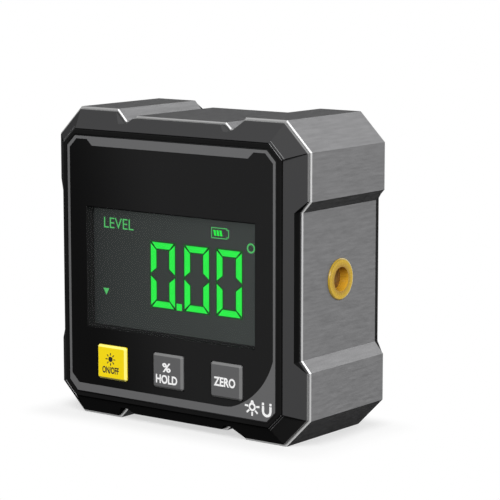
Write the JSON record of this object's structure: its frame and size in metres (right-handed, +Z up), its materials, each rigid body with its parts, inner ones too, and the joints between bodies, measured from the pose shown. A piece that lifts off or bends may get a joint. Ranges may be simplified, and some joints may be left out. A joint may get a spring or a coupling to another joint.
{
  "type": "digital angle gauge",
  "caption": "Square digital angle gauge with lit display, sprung keys, lobed aluminium ring frame, magnets in the base and a sliding battery door",
  "frame": {"origin": "middle of the footprint, on the plane of the base lobes", "axes": "+X to the right of the display, +Y from the display to the rear cover, +Z up"},
  "size_m": [0.06, 0.03, 0.06],
  "materials": {
    "brushed_aluminium": "brushed, dark grey anodised",
    "black_moulding": "fine matt",
    "gloss_black": "gloss",
    "clear_lens": "clear, gloss",
    "display_glass": "dark, satin",
    "white_plastic": "satin",
    "light_plate": "frosted",
    "board_green": "solder mask",
    "chip_black": "matt",
    "screw_steel": "bright",
    "screw_black": "blackened",
    "switch_black": "matt",
    "plunger_ivory": "satin",
    "key_yellow": "satin",
    "key_grey": "satin",
    "rear_moulding": "fine matt",
    "cell_sleeve": "gloss sleeve",
    "contact_nickel": "nickel plated",
    "spring_steel": "nickel plated",
    "magnet_nickel": "nickel plated",
    "bushing_yellow": "satin",
    "amber_lens": "clear amber",
    "emitter": "clear resin"
  },
  "bodies": {
    "housing": {"frame": "brushed_aluminium", "front_bezel": "black_moulding", "front_panel": "gloss_black", "display_lens": "clear_lens", "lcd_glass": "display_glass", "lcd_carrier": "white_plastic", "backlight_plate": "light_plate", "main_board": "board_green", "tilt_sensor": "chip_black", "controller_chip": "chip_black", "buzzer": "chip_black", "board_screws": "screw_steel", "power_switch": "switch_black", "hold_switch": "switch_black", "zero_switch": "switch_black", "rear_cover": "rear_moulding", "battery_upper": "cell_sleeve", "battery_lower": "cell_sleeve", "contact_bridge": "contact_nickel", "contact_negative": "contact_nickel", "contact_positive": "contact_nickel", "spring_upper": "spring_steel", "spring_lower": "spring_steel", "rear_screws": "screw_black", "base_magnets": "magnet_nickel", "side_port_ring": "bushing_yellow", "side_port_lens": "amber_lens", "port_emitter": "emitter"},
    "power_key": {"power_button": "key_yellow", "power_plunger": "plunger_ivory"},
    "hold_key": {"hold_button": "key_grey", "hold_plunger": "plunger_ivory"},
    "zero_key": {"zero_button": "key_grey", "zero_plunger": "plunger_ivory"},
    "door": {"battery_door": "rear_moulding"}
  },
  "joints": [
    {"name": "power_press", "type": "slide", "parent": "housing", "child": "power_key", "axis": [0, 1, 0], "range_m": [0, 0.0003], "stiffness_N_per_m": 1000, "springref_m": -0.0003},
    {"name": "hold_press", "type": "slide", "parent": "housing", "child": "hold_key", "axis": [0, 1, 0], "range_m": [0, 0.0003], "stiffness_N_per_m": 1000, "springref_m": -0.0003},
    {"name": "zero_press", "type": "slide", "parent": "housing", "child": "zero_key", "axis": [0, 1, 0], "range_m": [0, 0.0003], "stiffness_N_per_m": 1000, "springref_m": -0.0003},
    {"name": "door_slide", "type": "slide", "parent": "housing", "child": "door", "axis": [1, 0, 0], "range_m": [0, 0.04]}
  ]
}
